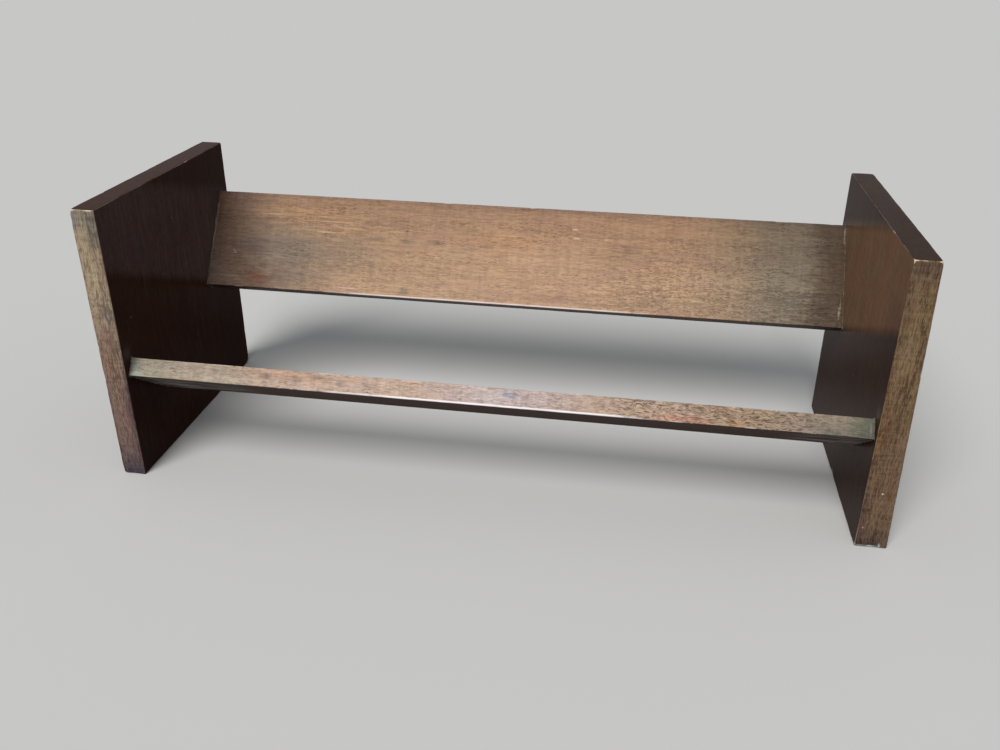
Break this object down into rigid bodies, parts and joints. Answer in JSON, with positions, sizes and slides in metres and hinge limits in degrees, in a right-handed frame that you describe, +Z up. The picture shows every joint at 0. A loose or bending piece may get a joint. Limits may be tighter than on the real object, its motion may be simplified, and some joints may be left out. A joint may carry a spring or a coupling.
{
  "type": "book trough",
  "caption": "Table-top wooden book trough: upright rectangular ends carry a sloping seat board and a leaning back board that form a square V for books.",
  "frame": {"origin": "on the floor, under the middle of the trough: the bottom centre of its box", "axes": "+X along the trough's length to the right end, +Y to the rear, where the back board leans, +Z up"},
  "size_m": [0.515, 0.184, 0.191],
  "materials": {
    "end_mahogany": "dark polished mahogany, grain upright, worn pale along the arrises",
    "board_mahogany": "mid-brown mahogany, grain along the length, open dark pores, thin worn polish",
    "dowel_beech": "bare fluted beech"
  },
  "bodies": {
    "root": {"left_end_board": "end_mahogany", "right_end_board": "end_mahogany", "seat_board": "board_mahogany", "back_board": "board_mahogany", "seat_dowel_left_front": "dowel_beech", "seat_dowel_left_rear": "dowel_beech", "seat_dowel_right_front": "dowel_beech", "seat_dowel_right_rear": "dowel_beech", "back_dowel_left_lower": "dowel_beech", "back_dowel_left_upper": "dowel_beech", "back_dowel_right_lower": "dowel_beech", "back_dowel_right_upper": "dowel_beech"}
  },
  "joints": []
}
